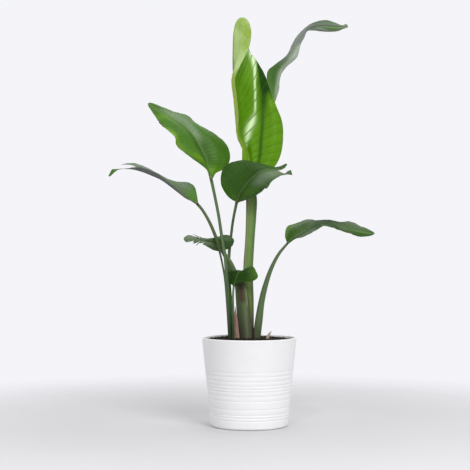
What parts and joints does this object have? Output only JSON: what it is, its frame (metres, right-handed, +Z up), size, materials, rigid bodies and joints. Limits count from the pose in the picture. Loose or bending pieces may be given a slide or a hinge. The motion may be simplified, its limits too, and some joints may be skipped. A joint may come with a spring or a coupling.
{
  "type": "potted plant",
  "caption": "Potted bird of paradise with broad leaves on long grooved stalks, in a white tapered pot with fine ribs.",
  "frame": {"origin": "centre of the pot's flat base", "axes": "+Z up, along the pot's axis; +X to the right and +Y away as seen from the plant's front, where the bright upper face of the tallest leaf looks"},
  "size_m": [0.7659, 0.2929, 1.2222],
  "materials": {
    "pot": "satin white glaze",
    "soil": "loose dark potting soil",
    "bright_leaf": "waxy new leaf, glossy above and matt below",
    "green_leaf": "waxy leaf",
    "pale_leaf": "matt grey-green leaf, mostly its underside",
    "dark_leaf": "waxy old leaf",
    "stalk": "smooth green stalk with brown edges",
    "dry_leaf": "dry and papery"
  },
  "bodies": {
    "root": {"pot": "pot", "soil": "soil", "tall_leaf_blade": "bright_leaf", "twisted_leaf_blade": "pale_leaf", "left_leaf_blade": "green_leaf", "drooping_leaf_blade": "pale_leaf", "centre_leaf_blade": "dark_leaf", "torn_leaf_blade": "dark_leaf", "low_leaf_blade": "green_leaf", "right_leaf_blade": "green_leaf", "tall_leaf_stalk": "stalk", "twisted_leaf_stalk": "stalk", "left_leaf_stalk": "stalk", "drooping_leaf_stalk": "stalk", "centre_leaf_stalk": "stalk", "torn_leaf_stalk": "stalk", "low_leaf_stalk": "stalk", "right_leaf_stalk": "stalk", "dry_sheath": "dry_leaf", "dry_stub": "dry_leaf"}
  },
  "joints": []
}
